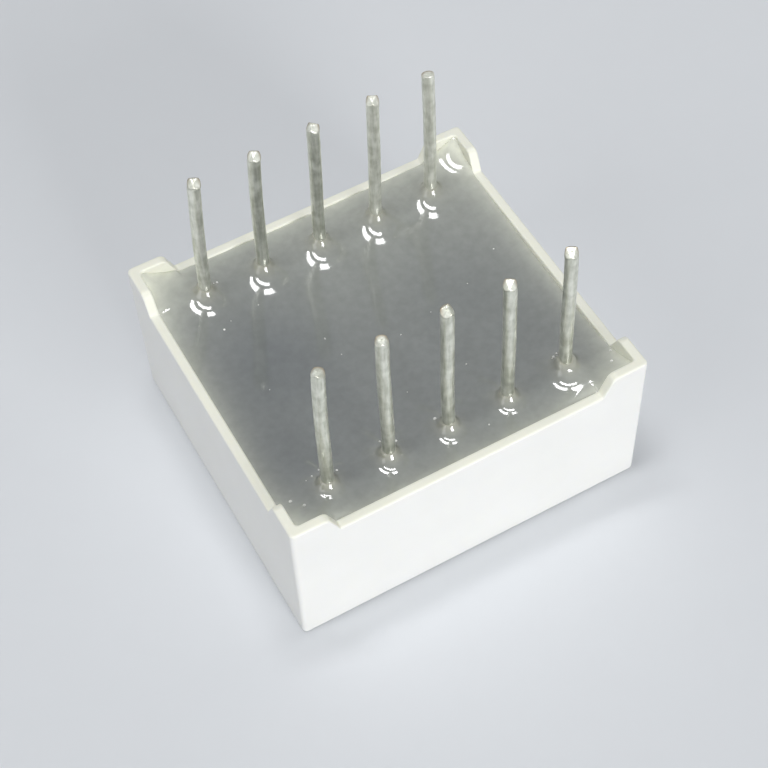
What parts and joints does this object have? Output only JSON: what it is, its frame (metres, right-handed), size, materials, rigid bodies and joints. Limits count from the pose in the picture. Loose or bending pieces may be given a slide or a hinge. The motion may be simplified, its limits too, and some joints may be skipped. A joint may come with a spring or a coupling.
{
  "type": "seven segment display",
  "caption": "Two-digit numeric light-emitting display in a white box with raised corner posts, a resin-filled back and two rows of round pins.",
  "frame": {"origin": "centre of the display face, on the surface that it lies on", "axes": "+Z from the display face towards the pin tips, +X along the rows of pins, +Y towards the top of the digits"},
  "size_m": [0.015, 0.014, 0.0132],
  "materials": {
    "white_plastic": "satin moulded polyester, with a printed matt black display face",
    "milky_resin": "cast milky epoxy",
    "potting_resin": "glossy translucent grey epoxy",
    "tinned_steel": "dull tin plating",
    "solder": "satin tin solder",
    "board_laminate": "glass-fibre laminate with green lacquer",
    "copper": "bare copper",
    "gold_wire": "drawn wire",
    "die_crystal": "polished crystal"
  },
  "bodies": {
    "root": {"reflector_housing": "white_plastic", "rear_potting": "potting_resin", "circuit_board": "board_laminate", "board_copper": "copper", "solder_joints": "solder", "bond_wires_left": "gold_wire", "bond_wires_right": "gold_wire", "left_segment_a": "milky_resin", "left_segment_b": "milky_resin", "left_segment_c": "milky_resin", "left_segment_d": "milky_resin", "left_segment_e": "milky_resin", "left_segment_f": "milky_resin", "left_segment_g": "milky_resin", "left_point": "milky_resin", "right_segment_a": "milky_resin", "right_segment_b": "milky_resin", "right_segment_c": "milky_resin", "right_segment_d": "milky_resin", "right_segment_e": "milky_resin", "right_segment_f": "milky_resin", "right_segment_g": "milky_resin", "right_point": "milky_resin", "left_die_a": "die_crystal", "left_die_b": "die_crystal", "left_die_c": "die_crystal", "left_die_d": "die_crystal", "left_die_e": "die_crystal", "left_die_f": "die_crystal", "left_die_g": "die_crystal", "left_die_point": "die_crystal", "right_die_a": "die_crystal", "right_die_b": "die_crystal", "right_die_c": "die_crystal", "right_die_d": "die_crystal", "right_die_e": "die_crystal", "right_die_f": "die_crystal", "right_die_g": "die_crystal", "right_die_point": "die_crystal", "pin_1": "tinned_steel", "pin_2": "tinned_steel", "pin_3": "tinned_steel", "pin_4": "tinned_steel", "pin_5": "tinned_steel", "pin_6": "tinned_steel", "pin_7": "tinned_steel", "pin_8": "tinned_steel", "pin_9": "tinned_steel", "pin_10": "tinned_steel"}
  },
  "joints": []
}
